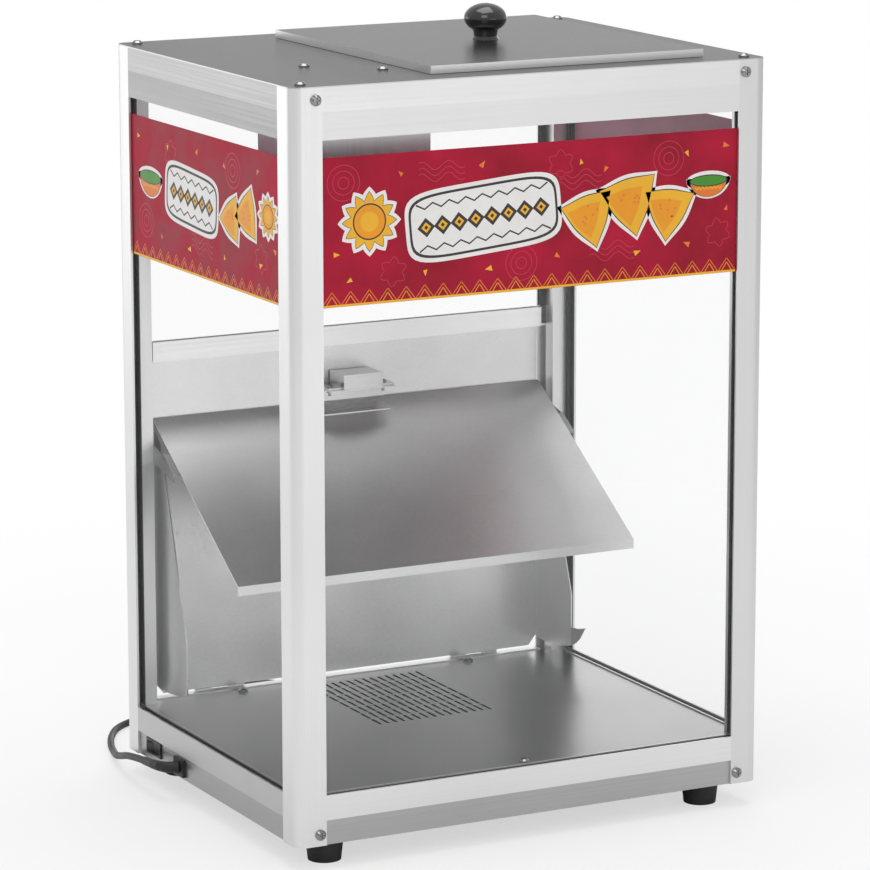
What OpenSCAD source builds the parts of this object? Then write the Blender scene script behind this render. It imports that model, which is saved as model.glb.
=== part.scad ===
// Heated top-loading nacho chip cabinet: aluminium frame, glass sides, tilting rear door.
// Millimetres, +Z up, front towards -Y. Inside frame_place() x, y and z run from the frame's
// front left bottom corner.

/* [Frame] */
// Width of the frame over its posts
frame_w = 457; // [430:1:500]
// Depth of the frame over its posts
frame_d = 365; // [350:1:420]
// Height of the frame from the foot of the posts to the top of the top plate
frame_h = 650; // [620:1:720]
// Width of a post's face
post_face = 28; // [26:1:32]
// Outer corner radius of a post
post_r = 10; // [6:1:12]
// Thickness of the extrusions' walls
wall = 2; // [1.6:0.1:2.4]
// Depth of the slot that takes the glass
slot_w = 6; // [5.6:0.1:7]
// Side of the square screw port inside a post
port_side = 14; // [12:1:15]
// Height of a rail's upper band
top_band_h = 20.5; // [18:0.5:24]
// Height of the glazing rail under the top rail
glazing_h = 23.5; // [20:0.5:28]
// Height of the base rail above the base pan
base_rail_h = 22; // [20:1:28]
// Height of the cross rail behind the door's top edge
mid_rail_h = 18; // [14:1:20]

/* [Base] */
// Height of the base pan's walls
skirt_h = 22; // [21:1:26]
// Thickness of the sheet metal
sheet = 1; // [0.8:0.1:1.2]
// Width of the pan's lip at the floor's screws
tab_side = 14; // [12:1:16]
// Columns of slots in the floor
grille_cols = 15; // [9:2:17]
// Rows of slots in the floor
grille_rows = 7; // [3:1:8]
// Pitch of the slots across
grille_pitch_x = 8; // [7:0.5:9]
// Pitch of the slots from front to back
grille_pitch_y = 22; // [20:0.5:24]
// Width of a slot
grille_slot_w = 3; // [2:0.5:4]
// Length of a slot
grille_slot_l = 19; // [14:0.5:19]
// Distance of the grille's centre from the frame's back
grille_back = 105; // [100:1:125]

/* [Feet] */
// Height of a rubber foot
foot_h = 22; // [15:1:30]
// Diameter of a foot at its top
foot_d_top = 34; // [28:1:38]
// Diameter of a foot at the bottom
foot_d_bottom = 29; // [22:1:32]
// Distance of a foot's centre from the frame's sides
foot_inset_x = 41; // [40:1:60]
// Distance of a foot's centre from the frame's front and back
foot_inset_y = 32; // [30:1:60]

/* [Glass and banners] */
// Thickness of the glass
glass_t = 4; // [3:0.5:4.5]
// How far the glass reaches into a rail or a post
glass_bite = 10; // [8:0.5:11]
// Distance of the banners' upper edge below the glazing rail
banner_drop = 15; // [8:1:40]
// Height of a banner
banner_h = 126; // [100:1:135]
// Thickness of a banner's film
banner_t = 0.3; // [0.2:0.05:0.4]

/* [Lid] */
// Width of the lid
lid_w = 266; // [240:1:290]
// Depth of the lid
lid_d = 305; // [260:1:320]
// Distance of the lid from the frame's left side
lid_x = 143.5; // [140:0.5:150]
// Distance of the lid from the frame's front
lid_y = 29; // [20:0.5:40]
// Height of the lid's rim
lid_h = 7; // [6:0.5:12]
// Height of the upstand around the loading opening
collar_h = 5; // [3:0.5:5.5]
// How far the lid covers the top plate beyond the opening
lid_overlap = 10.5; // [10:0.5:16]

/* [Knobs] */
// Largest diameter of a knob
knob_d = 38; // [30:1:44]
// Height of a knob
knob_h = 32; // [26:1:40]
// Diameter of a knob's neck
knob_neck_d = 24; // [18:1:28]
// Diameter of a knob's screw
knob_screw_d = 5; // [4:0.5:6]

/* [Door] */
// Distance of the door's inner face from the frame's back
door_inset = 3; // [3:0.5:7]
// Distance of the door's panel from the frame's sides
door_side = 29; // [28.5:0.5:32]
// Height of the door's lower edge
door_bottom_z = 46.5; // [46:0.5:50]
// Depth of the door's cheeks at their widest
cheek_depth = 72; // [66:1:74]
// Length of the stop at the foot of a cheek's front edge
hook_l = 16.5; // [12:0.5:18]
// Angle by which the stop is bent outward
hook_angle = 25; // [15:1:26]
// Length of a hinge
hinge_l = 50; // [40:1:70]
// Distance of a hinge's centre from the frame's sides
hinge_inset = 95; // [80:1:130]
// Diameter of a hinge's barrel
barrel_d = 6; // [5.5:0.1:6.4]
// Diameter of a hinge's pin
hinge_pin_d = 3; // [2.5:0.1:3.2]
// Height of the door knob's centre
door_knob_z = 300; // [285:1:305]

/* [Deflector] */
// Angle of the deflector plate
plate_angle = 32.6; // [30:0.1:33]
// Distance of the deflector's front edge from the door
plate_reach = 186; // [162:1:202]
// Height of the deflector's front edge
plate_front_z = 188.5; // [180:0.5:200]
// Height of the lip under the front edge
plate_lip = 8.5; // [6:0.5:12]
// Distance of the catch's centre from the frame's left side
catch_x = 228.5; // [180:0.5:280]
// Width of the catch's body
catch_w = 40; // [30:1:50]
// Length of the catch's body
catch_l = 30; // [24:1:34]
// Height of the catch's body
catch_h = 14; // [10:0.5:16]

/* [Lamp] */
// Distance of the lamp's centre from the frame's left side
lamp_x = 98; // [88:1:100]
// Distance of the lamp's centre from the front
lamp_y = 103; // [80:1:160]
// Side of the lamp shade
shade_side = 110; // [100:1:112]
// Height of the lamp shade
shade_h = 86; // [70:1:100]
// Diameter of the bulb
bulb_d = 45; // [35:1:50]

/* [Fan and heater] */
// Side of the fan's frame
fan_side = 80; // [70:1:85]
// Height of the fan's frame
fan_h = 25; // [20:1:26]
// Number of the fan's blades
fan_blades = 7; // [5:1:9]
// Diameter of the fan's shaft
fan_shaft_d = 3; // [2:0.5:4]
// Diameter of the heating tube
heater_d = 6.5; // [6:0.1:7]
// Length of the heater's straight runs
heater_l = 84; // [80:1:110]

/* [Switch and lead] */
// Length of the switch's bezel
switch_l = 31; // [28:1:34]
// Height of the switch's bezel
switch_h = 14; // [12:0.5:16]
// Distance of the switch's centre from the frame's back
switch_back = 61; // [55:1:75]
// Tilt of the rocker to each side
rocker_tilt = 10; // [8:1:11]
// Distance of the cable gland from the frame's back
gland_back = 119; // [110:1:135]
// Diameter of the mains lead
cord_d = 6.5; // [6:0.1:7]

/* [Screws] */
// Diameter of the frame's screws
screw_d = 5; // [4:0.5:5]
// Diameter of a pan head
screw_head_d = 9.5; // [8:0.5:10]
// Height of a pan head
screw_head_h = 3; // [2:0.1:3.4]

/* [Hidden] */

eps = 0.01;
// Clearance between pieces that only lie against each other in a slot or a hole
fit = 0.3;
// Running clearance of a shaft in its bore, on the diameter
run = 0.1;

// Frame: the extrusions' section
rail_depth = wall + slot_w + wall;
port_lo = wall + slot_w;
port_hi = port_lo + port_side;
web_lo = port_lo + port_side / 2 - wall / 2;
port_bore_d = screw_d - 0.8;
screw_hole_d = screw_d + 0.4;
glass_lo = wall + (slot_w - glass_t) / 2;
post_top = frame_h - sheet;
top_rail_z = post_top - top_band_h;
glazing_z = top_rail_z - glazing_h;
base_top_z = skirt_h + base_rail_h;
banner_z = glazing_z - banner_drop - banner_h;
tongue = port_hi - web_lo - wall - fit;
tongue_lo = post_face - (post_face - web_lo - wall - fit);
tongue_len = post_face - tongue_lo;
inner_w = frame_w - 2 * post_face;
inner_d = frame_d - 2 * post_face;

// Floor and base
floor_top = base_top_z - sheet;
notch = port_hi + fit;
floor_edge = rail_depth + fit;
pan_out = wall;
screw_front_y = 18;
screw_rear_y = frame_d - 18;
screw_rear_x = 118;
grille_y = frame_d - grille_back;
frame_screw_x = port_hi;

// Rear door and its hinge
door_y = frame_d - door_inset;
hinge_z = base_top_z + barrel_d / 2 + 0.5;
hinge_y = door_y + sheet + 0.7 + barrel_d / 2;
leaf_t = 1.2;
door_w = frame_w - 2 * door_side;
hinge_screw_z = -14;
leaf_h = 26;
mid_gap = 1;
mid_rail_z = 359;
door_top_z = mid_rail_z - mid_gap;

// Deflector and catch
plate_front_y = door_y - plate_reach;
plate_rear_y = door_y - 2;
plate_t = sheet / cos(plate_angle);
bracket_y = door_y - 62;
bracket_l = 22;
bracket_arm_t = 1.5;
bracket_leaf = 22;
bracket_screw_z = plate_z(door_y) - 26.5;
catch_rear_y = door_y - 1.8;
catch_rise = 14.8;
catch_floor_z = plate_z(plate_rear_y) + catch_rise;
catch_foot = 16;
catch_bracket_w = catch_w + 28;
catch_screw_dx = catch_w / 2 + 7.5;
magnet_proud = 0.5;

// Lamp
shade_z = post_top - shade_h;
shade_screw = 25;
bulb_z = post_top - shade_h / 2;
bulb_cap_r = 6.8;
bulb_cap_l = 22;
bulb_centre = 50;
bulb_seat = 5.5;
holder_r = 12;
holder_flange_r = 17;
holder_flange_t = 3;
holder_bore_r = 8;
holder_floor = 5;
holder_l = 26;

// Fan and heater
fan_z = sheet + 3;
fan_pitch = fan_side - 8.5;
fan_bore_d = fan_side - 4;
fan_hub_d = 34;
heater_z = floor_top - heater_d / 2 - 3.5;
heater_pitch = 22;

// Terminal block
terminal_x = 70;
terminal_y = grille_y - 70;
terminal_w = 20;
terminal_pitch = 12;
terminal_h = 15;

// Switch, gland and lead
switch_y = frame_d - switch_back;
gland_y = frame_d - gland_back;
switch_z = 13.5;
bezel_t = 1.5;
gland_z = 10.5;
origin_x = frame_w / 2;
origin_y = (door_y + sheet + knob_h - screw_head_h) / 2;

// The mains lead is 1.5 m long: this route from the gland's sleeve, a coil and a tail
CORD_ROUTE = [[-244.5, 92, 30], [-243.5, 114, 27], [-240.5, 139, 22], [-236, 164, 15],
    [-230, 189, 8.5], [-222, 214, 4.5], [-214, 239, 3.5], [-202, 266, 3.5], [-184, 292, 3.5],
    [-158, 309, 3.5], [-124, 316, 3.5], [-80, 316, 3.5], [-38, 316, 3.5]];
CORD_TAIL = [[-76, 294, 13], [-60, 310, 17.5], [-38, 316, 22], [-21, 312.5, 22.5],
    [-7, 303, 22], [8, 288, 19.5], [22, 274, 16], [34, 262, 14]];
COIL_X = -38;
COIL_Y = 272.3;
coil_r_in = 31;
coil_r_out = 47;
coil_h = 16;
cord_ring = 2.5 * cord_d;
cord_sides = 10;

function lerp(a, b, t) = a + (b - a) * t;
function unit(v) = v / norm(v);
// Catmull-Rom point between b and c
function spline(a, b, c, d, t) = 0.5 * ((2 * b) + (c - a) * t + (2 * a - 5 * b + 4 * c - d) * t * t
    + (3 * b - a - 3 * c + d) * t * t * t);
function at(path, i) = path[max(0, min(len(path) - 1, i))];
function steps(path, i) = max(1, round(norm(path[i + 1] - path[i]) / cord_ring));
function smooth(path) = concat([for (i = [0 : len(path) - 2]) let(n = steps(path, i))
    for (k = [0 : n - 1]) spline(at(path, i - 1), path[i], path[i + 1], at(path, i + 2), k / n)],
    [path[len(path) - 1]]);
function heading(p, i) = unit(at(p, i + 1) - at(p, i - 1));
function side_of(t) = unit(cross([0, 0, 1], t));
function ring(p, i, r, n) = let(t = heading(p, i), s = side_of(t), u = cross(t, s))
    [for (k = [0 : n - 1]) p[i] + r * (cos(360 * k / n) * s + sin(360 * k / n) * u)];

// A closed tube along points p, its radius going from r0 to r1
module sweep(p, r0, r1, n = cord_sides) {
    m = len(p);
    pts = [for (i = [0 : m - 1]) each ring(p, i, lerp(r0, r1, i / (m - 1)), n)];
    walls = [for (i = [0 : m - 2]) for (k = [0 : n - 1])
        [i * n + k, (i + 1) * n + k, (i + 1) * n + (k + 1) % n, i * n + (k + 1) % n]];
    ends = [[for (k = [0 : n - 1]) k], [for (k = [n - 1 : -1 : 0]) (m - 1) * n + k]];
    polyhedron(points = pts, faces = concat(walls, ends));
}

module frame_place() {
    translate([-origin_x, -origin_y, foot_h]) children();
}

// Box from corner a to corner b
module span(a, b) {
    translate(a) cube([b[0] - a[0], b[1] - a[1], b[2] - a[2]]);
}

// Cylinder of diameter d and height h along +X, +Y or +Z from point p
module rod_x(p, d, h) {
    translate(p) rotate([0, 90, 0]) cylinder(d = d, h = h, $fn = 48);
}
module rod_y(p, d, h) {
    translate(p) rotate([-90, 0, 0]) cylinder(d = d, h = h, $fn = 48);
}
module rod_z(p, d, h) {
    translate(p) cylinder(d = d, h = h, $fn = 48);
}

// Both sides of the cabinet: the children and their mirror image across its middle
module both_sides() {
    children();
    translate([frame_w, 0, 0]) mirror([1, 0, 0]) children();
}

// Pan-head screw standing on z = 0 with its shank down to -length
module pan_screw(length, d = screw_d, head_d = screw_head_d, head_h = screw_head_h) {
    difference() {
        union() {
            translate([0, 0, -length]) cylinder(d = d, h = length + eps, $fn = 32);
            cylinder(d = head_d, h = head_h * 0.45, $fn = 48);
            translate([0, 0, head_h * 0.45 - eps])
                cylinder(d1 = head_d, d2 = head_d * 0.62, h = head_h * 0.55 + eps, $fn = 48);
        }
        for (a = [0, 90]) rotate([0, 0, a])
            translate([-head_d * 0.26, -head_d * 0.055, head_h * 0.55])
                cube([head_d * 0.52, head_d * 0.11, head_h]);
    }
}

// ---- Frame ----

// Section of a post with its outer corner at the origin
module post_section() {
    difference() {
        union() {
            difference() {
                union() {
                    translate([post_r, post_r]) circle(r = post_r, $fn = 64);
                    translate([post_r, 0]) square([post_face - post_r, wall]);
                    translate([0, post_r]) square([wall, post_face - post_r]);
                }
                translate([post_r, post_r]) circle(r = post_r - wall, $fn = 64);
                translate([post_r, wall]) square(post_face);
                translate([wall, post_r]) square(post_face);
            }
            translate([port_lo, port_lo]) square(port_side);
            translate([wall - 0.2, web_lo]) square([slot_w + 0.4, wall]);
            translate([web_lo, wall - 0.2]) square([wall, slot_w + 0.4]);
        }
        translate([port_lo + port_side / 2, port_lo + port_side / 2])
            circle(d = port_bore_d, $fn = 32);
    }
}

// Heights of the two screws in a post's face
function screw_low_z() = skirt_h / 2 - 1;
function screw_high_z() = post_top - top_band_h / 2;

// A post whose outer corner is the frame's front left one
module post() {
    difference() {
        linear_extrude(post_top) post_section();
        for (z = [screw_low_z(), screw_high_z()])
            rod_y([frame_screw_x, -1, z], screw_hole_d, wall + 1 + eps);
    }
}

// A rear post also has the hole of the deflector bracket's screw
module post_rear() {
    translate([0, frame_d, 0]) mirror([0, 1, 0]) difference() {
        post();
        rod_x([port_mid(), port_mid(), bracket_screw_z], 4, post_face);
    }
}

module post_front_left() {
    color("silver") frame_place() post();
}
module post_front_right() {
    color("silver") frame_place() translate([frame_w, 0, 0]) mirror([1, 0, 0]) post();
}
module post_rear_left() {
    color("silver") frame_place() post_rear();
}
module post_rear_right() {
    color("silver") frame_place() translate([frame_w, 0, 0]) mirror([1, 0, 0]) post_rear();
}

// Puts a rail drawn along +X with its outer face on y = 0 on each side of the frame
module on_front() {
    translate([post_face, 0, 0]) children();
}
module on_rear() {
    translate([frame_w - post_face, frame_d, 0]) rotate([0, 0, 180]) children();
}
module on_left() {
    translate([0, frame_d - post_face, 0]) rotate([0, 0, -90]) children();
}
module on_right() {
    translate([frame_w, post_face, 0]) rotate([0, 0, 90]) children();
}

// The two tongues that go behind the posts' legs, for a rail of length l
module tongues(l, z0, z1) {
    for (x = [-tongue_len, l - eps])
        span([x, wall + fit / 2, z0], [x + tongue_len + eps, port_lo - fit / 2, z1]);
}

// Holes in the tongues for the front screws
module tongue_holes(l, z) {
    for (x = [frame_screw_x - post_face, l + post_face - frame_screw_x])
        rod_y([x, 0, z], screw_d, port_lo);
}

module top_rail(l) {
    span([0, 0, top_rail_z], [l, wall, post_top]);
    span([0, wall - eps, post_top - wall], [l, port_hi, post_top]);
    span([0, wall - eps, top_rail_z], [l, rail_depth, top_rail_z + wall]);
    tongues(l, top_rail_z + 2, post_top - 2);
}

module top_rail_front() {
    color("gainsboro") frame_place() on_front() difference() {
        top_rail(inner_w);
        tongue_holes(inner_w, screw_high_z());
    }
}
module top_rail_rear() {
    color("gainsboro") frame_place() on_rear() difference() {
        top_rail(inner_w);
        tongue_holes(inner_w, screw_high_z());
    }
}
module top_rails_side() {
    color("gainsboro") frame_place() {
        on_left() top_rail(inner_d);
        on_right() top_rail(inner_d);
    }
}

// Rail with a slot that is open downwards from its roof at z1
module slot_down(l, z0, z1) {
    span([0, 0, z0], [l, wall, z1]);
    span([0, port_lo, z0], [l, rail_depth, z1]);
    span([0, wall - eps, z1 - wall], [l, port_lo + eps, z1]);
    tongues(l, z1 - glazing_h / 2, z1 - 1);
}

module glazing_rail_front() {
    color("whitesmoke") frame_place() on_front() slot_down(inner_w, glazing_z, top_rail_z);
}
module glazing_rail_rear() {
    color("whitesmoke") frame_place() on_rear() slot_down(inner_w, glazing_z, top_rail_z);
}
module glazing_rails_side() {
    color("whitesmoke") frame_place() {
        on_left() slot_down(inner_d, glazing_z, top_rail_z);
        on_right() slot_down(inner_d, glazing_z, top_rail_z);
    }
}

// Rail with a slot that is open upwards, its floor at z0
module slot_up(l, z0, z1) {
    span([0, 0, z0], [l, wall, z1]);
    span([0, port_lo, z0], [l, rail_depth, z1]);
    span([0, wall - eps, z1 - glass_bite - wall], [l, port_lo + eps, z1 - glass_bite]);
    tongues(l, z0 + 1, z1 - glass_bite - 2);
}

module base_rail_front() {
    color("gainsboro") frame_place() on_front() slot_up(inner_w, skirt_h, base_top_z);
}
module base_rails_side() {
    color("gainsboro") frame_place() {
        on_left() slot_up(inner_d, skirt_h, base_top_z);
        on_right() slot_up(inner_d, skirt_h, base_top_z);
    }
}

// The rear base rail is a closed box that carries the hinges
module base_rail_rear() {
    color("gainsboro") frame_place() difference() {
        on_rear() difference() {
            union() {
                span([0, 0, skirt_h], [inner_w, rail_depth, base_top_z]);
                tongues(inner_w, skirt_h + 1, base_top_z - 2);
            }
            span([-1, wall, skirt_h + wall], [inner_w + 1, port_lo, base_top_z - wall]);
        }
        both_sides() for (s = [-1, 1])
            rod_y([hinge_inset + s * hinge_l * 0.3, frame_d - wall - 1, hinge_z + hinge_screw_z],
                3, wall + 2);
    }
}

// The cross rail above the door holds the rear glass's lower edge
module mid_rail_rear() {
    color("whitesmoke") frame_place() on_rear() {
        span([0, 0, mid_rail_z], [inner_w, wall, mid_rail_z + mid_rail_h]);
        span([0, port_lo, mid_rail_z], [inner_w, rail_depth, mid_rail_z + mid_rail_h]);
        span([0, wall - eps, mid_rail_z], [inner_w, port_lo + eps, mid_rail_z + wall]);
        tongues(inner_w, mid_rail_z, mid_rail_z + wall);
    }
}

// ---- Base ----

// Sheet of the outline from lo to the far side minus lo, with the posts' corners cut out
module notched(lo, z, t, n = notch) {
    difference() {
        span([lo, lo, z], [frame_w - lo, frame_d - lo, z + t]);
        for (x = [-1, frame_w - n]) for (y = [-1, frame_d - n])
            span([x, y, z - 1], [x + n + 1, y + n + 1, z + t + 1]);
    }
}

// The pan's walls: low behind the posts, high inside the base rails' hollow, low at the rear
module pan_walls() {
    w0 = web_lo + wall + fit;
    w1 = post_face + fit;
    high = base_top_z - glass_bite - wall - 0.5;
    for (y = [pan_out, frame_d - pan_out - sheet])
        span([w0, y, 0], [frame_w - w0, y + sheet, skirt_h]);
    span([w1, pan_out, skirt_h - eps], [frame_w - w1, pan_out + sheet, high]);
    for (x = [pan_out, frame_w - pan_out - sheet]) {
        span([x, w0, 0], [x + sheet, frame_d - w0, skirt_h]);
        span([x, w1, skirt_h - eps], [x + sheet, frame_d - w1, high]);
    }
}

// Upright tab with a flange under the floor plate; its screw goes through the flange
module pan_tab(x, y, back) {
    span([x - tab_side / 2, y - tab_side / 2, floor_top - sheet - sheet],
        [x + tab_side / 2, y + tab_side / 2, floor_top - sheet]);
    yw = back ? y - tab_side / 2 : y + tab_side / 2 - sheet;
    span([x - tab_side / 2, yw, sheet - eps],
        [x + tab_side / 2, yw + sheet, floor_top - sheet - eps]);
}

module floor_screw_places() {
    translate([frame_w / 2, screw_front_y, floor_top]) children();
    for (s = [-1, 1]) translate([frame_w / 2 + s * screw_rear_x, screw_rear_y, floor_top])
        children();
}

module foot_places() {
    for (x = [foot_inset_x, frame_w - foot_inset_x])
        for (y = [foot_inset_y, frame_d - foot_inset_y]) translate([x, y, 0]) children();
}

module fan_place() {
    translate([frame_w / 2, grille_y, 0]) children();
}

module fan_corners() {
    for (x = [-1, 1]) for (y = [-1, 1])
        translate([x * fan_pitch / 2, y * fan_pitch / 2, 0]) children();
}

module base_pan() {
    color("darkgray") frame_place() difference() {
        union() {
            notched(pan_out, 0, sheet);
            pan_walls();
            pan_tab(frame_w / 2, screw_front_y + 2, false);
            for (s = [-1, 1]) pan_tab(frame_w / 2 + s * screw_rear_x, screw_rear_y, true);
            fan_place() fan_corners() translate([0, 0, sheet - eps])
                cylinder(d = 8, h = fan_z - sheet + eps, $fn = 32);
        }
        floor_screw_places() translate([0, 0, -8]) cylinder(d = screw_d, h = 10, $fn = 32);
        foot_places() translate([0, 0, -1]) cylinder(d = screw_hole_d, h = 3, $fn = 32);
        for (x = [frame_screw_x, frame_w - frame_screw_x]) for (y = [0, frame_d - 6])
            rod_y([x, y, screw_low_z()], screw_d, 6);
        fan_place() fan_corners() translate([0, 0, -1]) cylinder(d = 4.3, h = 9, $fn = 32);
        fan_place() for (r = [12 : 8 : fan_bore_d / 2 - 4]) for (a = [0 : 30 : 359])
            rotate([0, 0, a + r * 2]) translate([r, 0, -1]) cylinder(d = 4, h = 4, $fn = 24);
        span([pan_out - 1, switch_y - switch_l / 2 + 2, switch_z - switch_h / 2 + 1],
            [pan_out + sheet + 1, switch_y + switch_l / 2 - 2, switch_z + switch_h / 2 - 1]);
        rod_x([pan_out - 1, gland_y, gland_z], 12.4, sheet + 2);
    }
}

module floor_plate() {
    color("gray") frame_place() difference() {
        notched(floor_edge, floor_top - sheet, sheet);
        translate([frame_w / 2, grille_y, floor_top - sheet - 1])
            for (i = [0 : grille_cols - 1]) for (j = [0 : grille_rows - 1])
                translate([(i - (grille_cols - 1) / 2) * grille_pitch_x,
                    (j - (grille_rows - 1) / 2) * grille_pitch_y, 0]) slot_cut();
        floor_screw_places() translate([0, 0, -3]) cylinder(d = screw_hole_d, h = 5, $fn = 32);
    }
}

module slot_cut() {
    linear_extrude(sheet + 2) union() {
        square([grille_slot_w, grille_slot_l - grille_slot_w], center = true);
        for (s = [-1, 1]) translate([0, s * (grille_slot_l - grille_slot_w) / 2])
            circle(d = grille_slot_w, $fn = 16);
    }
}

// ---- Top ----

module corner_screw_places() {
    for (x = [0, 1]) for (y = [0, 1])
        translate([x ? frame_w - port_mid() : port_mid(), y ? frame_d - port_mid() : port_mid(),
            frame_h]) children();
}

function port_mid() = port_lo + port_side / 2;

module lamp_screw_places() {
    for (s = [-1, 1]) translate([lamp_x + s * shade_screw, lamp_y - s * shade_screw, frame_h])
        children();
}

// Box through the opening that the lid covers, grown by grow on all four sides
module opening(z0, z1, grow) {
    m = lid_overlap - grow;
    span([lid_x + m, lid_y + m, z0], [lid_x + lid_w - m, lid_y + lid_d - m, z1]);
}

module top_plate() {
    color("dimgray") frame_place() difference() {
        union() {
            linear_extrude(frame_h) top_outline();
            opening(frame_h - eps, frame_h + collar_h, sheet);
        }
        span([-1, -1, -1], [frame_w + 1, frame_d + 1, frame_h - sheet]);
        opening(-1, frame_h + collar_h + 1, 0);
        corner_screw_places() translate([0, 0, -3]) cylinder(d = screw_hole_d, h = 5, $fn = 32);
        lamp_screw_places() translate([0, 0, -3]) cylinder(d = screw_hole_d, h = 5, $fn = 32);
    }
}

module top_outline() {
    for (x = [post_r, frame_w - post_r]) for (y = [post_r, frame_d - post_r])
        translate([x, y]) circle(r = post_r, $fn = 64);
    translate([post_r, 0]) square([frame_w - 2 * post_r, frame_d]);
    translate([0, post_r]) square([frame_w, frame_d - 2 * post_r]);
}

module lid() {
    color("gray") frame_place() difference() {
        span([lid_x, lid_y, frame_h + fit], [lid_x + lid_w, lid_y + lid_d, frame_h + fit + lid_h]);
        span([lid_x + sheet, lid_y + sheet, frame_h],
            [lid_x + lid_w - sheet, lid_y + lid_d - sheet, frame_h + fit + lid_h - sheet]);
        rod_z([lid_x + lid_w / 2, lid_y + lid_d / 2, frame_h], knob_screw_d + 0.4, lid_h + 2);
    }
}

// Ball knob standing on z = 0, with a blind hole for its screw
module knob() {
    neck = knob_neck_d / 2;
    r = knob_d / 2;
    waist = neck * 0.86;
    difference() {
        rotate_extrude($fn = 64) union() {
            difference() {
                polygon([[0, 0], [neck, 0], [waist, 3], [waist + 0.6, 7], [r * 0.9, 14],
                    [r * 0.9, knob_h - 11], [0, knob_h - 6]]);
                translate([waist + 5.5, 6]) circle(r = 5, $fn = 48);
            }
            intersection() {
                translate([0, knob_h - 13]) scale([1, 13 / r]) circle(r = r, $fn = 96);
                square([r + 1, knob_h + 1]);
            }
        }
        translate([0, 0, -1]) cylinder(d = knob_screw_d, h = 13, $fn = 32);
    }
}

module lid_knob() {
    color("black") frame_place()
        translate([lid_x + lid_w / 2, lid_y + lid_d / 2, frame_h + fit + lid_h]) knob();
}

// Screw under a knob: its head is inside, below the sheet
module knob_screw() {
    rotate([180, 0, 0]) pan_screw(12, knob_screw_d - 0.02, 9, 2.4);
}

module lid_knob_screw() {
    color("silver") frame_place()
        translate([lid_x + lid_w / 2, lid_y + lid_d / 2, frame_h + fit + lid_h - sheet])
            knob_screw();
}

// ---- Glass ----

edge_x = post_face - glass_bite + 1;
glass_bottom = base_top_z - glass_bite;
glass_top = glazing_z + glass_bite;

module pane_x(x, z0, z1) {
    span([x, edge_x, z0], [x + glass_t, frame_d - edge_x, z1]);
}
module pane_y(y, z0, z1) {
    span([edge_x, y, z0], [frame_w - edge_x, y + glass_t, z1]);
}

module glass_front() {
    color("lightcyan", 0.3) frame_place() pane_y(glass_lo, glass_bottom, glass_top);
}
module glass_rear() {
    color("lightcyan", 0.3) frame_place()
        pane_y(frame_d - glass_lo - glass_t, mid_rail_z + wall, glass_top);
}
module glass_left() {
    color("lightcyan", 0.3) frame_place() pane_x(glass_lo, glass_bottom, glass_top);
}
module glass_right() {
    color("lightcyan", 0.3) frame_place()
        pane_x(frame_w - glass_lo - glass_t, glass_bottom, glass_top);
}

// Two strips that fill the slot on both faces of a pane, drawn for a pane along +X
module gasket_pair(x0, x1, z0, z1) {
    t = (slot_w - glass_t) / 2 - 0.05;
    for (y = [wall + 0.02, wall + slot_w - t - 0.02]) span([x0, y, z0], [x1, y + t, z1]);
}

// Strips in the rails' slots, along the pane's lower and upper edge
module gasket_rows(l, z0, z1) {
    for (z = [z0, z1]) gasket_pair(0, l, z, z + glass_bite - 2);
}

module gaskets() {
    w = post_face;
    lo = base_top_z - glass_bite + 1;
    mid = mid_rail_z + 5;
    color("black") frame_place() {
        both_sides() {
            gasket_pair(port_hi - 3, w, base_top_z + 1, glazing_z - 1);
            translate([0, frame_d, 0]) mirror([0, 1, 0])
                gasket_pair(port_hi - 3, w, mid_rail_z + mid_rail_h + 1, glazing_z - 1);
            mirror([1, -1, 0]) gasket_pair(port_hi - 3, w, base_top_z + 1, glazing_z - 1);
            translate([0, frame_d, 0]) mirror([0, 1, 0]) mirror([1, -1, 0])
                gasket_pair(port_hi - 3, w, base_top_z + 1, glazing_z - 1);
        }
        on_front() gasket_rows(inner_w, lo, glazing_z + 1);
        on_left() gasket_rows(inner_d, lo, glazing_z + 1);
        on_right() gasket_rows(inner_d, lo, glazing_z + 1);
        on_rear() gasket_rows(inner_w, mid, glazing_z + 1);
    }
}

// Printed films on the outside of the panes, between the posts
module banner_front() {
    color("crimson") frame_place() span([post_face + fit, glass_lo - banner_t - 0.02, banner_z],
        [frame_w - post_face - fit, glass_lo - 0.02, banner_z + banner_h]);
}
module banner_side() {
    span([glass_lo - banner_t - 0.02, post_face + fit, banner_z],
        [glass_lo - 0.02, frame_d - post_face - fit, banner_z + banner_h]);
}
module banner_left() {
    color("crimson") frame_place() banner_side();
}
module banner_right() {
    color("crimson") frame_place() translate([frame_w, 0, 0]) mirror([1, 0, 0]) banner_side();
}

// ---- Deflector and catch ----

// Outline in the YZ plane drawn out along X from x0 to x1
module bent(points, x0, x1) {
    translate([x0, 0, 0]) rotate([90, 0, 90]) linear_extrude(x1 - x0) polygon(points);
}

// Height of the deflector's upper face at a distance y from the front
function plate_z(y) = plate_front_z + (y - plate_front_y) * tan(plate_angle);

module deflector_plate() {
    color("gray") frame_place()
        bent([[plate_front_y, plate_front_z], [plate_rear_y, plate_z(plate_rear_y)],
            [plate_rear_y, plate_z(plate_rear_y) - plate_t],
            [plate_front_y + sheet, plate_z(plate_front_y + sheet) - plate_t],
            [plate_front_y + sheet, plate_front_z - plate_lip],
            [plate_front_y, plate_front_z - plate_lip]],
            post_face + fit, frame_w - post_face - fit);
}

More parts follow.
